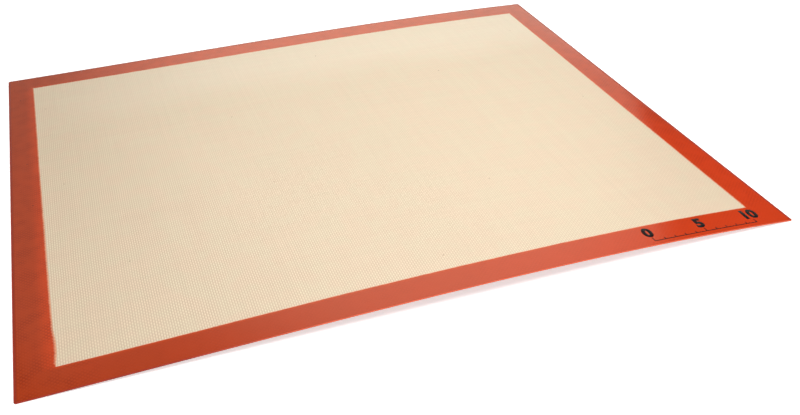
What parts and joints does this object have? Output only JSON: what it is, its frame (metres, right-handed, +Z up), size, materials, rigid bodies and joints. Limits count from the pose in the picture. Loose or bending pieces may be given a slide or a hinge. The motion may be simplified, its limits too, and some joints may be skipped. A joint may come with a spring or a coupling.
{
  "type": "silicone baking mat",
  "caption": "Rectangular baking mat of glass cloth coated with beige silicone, with a red silicone border, a sealed edge and a printed scale.",
  "frame": {"origin": "under the middle of the mat, on the surface that the mat lies on", "axes": "+X along the long side, +Y from the near long side with the printed scale to the far one, +Z up"},
  "size_m": [0.64, 0.52, 0.0103],
  "materials": {
    "glass_cloth": "plain weave of glass yarn, soaked with silicone",
    "beige_silicone": "satin, slightly tacky, with the weave showing through",
    "red_silicone": "satin, pigmented, with the weave faintly telegraphed",
    "black_ink": "satin silicone ink"
  },
  "bodies": {
    "root": {"glass_cloth": "glass_cloth", "top_field_coat": "beige_silicone", "bottom_field_coat": "beige_silicone", "top_border_coat": "red_silicone", "bottom_border_coat": "red_silicone", "edge_seal": "red_silicone", "printed_scale": "black_ink"}
  },
  "joints": []
}
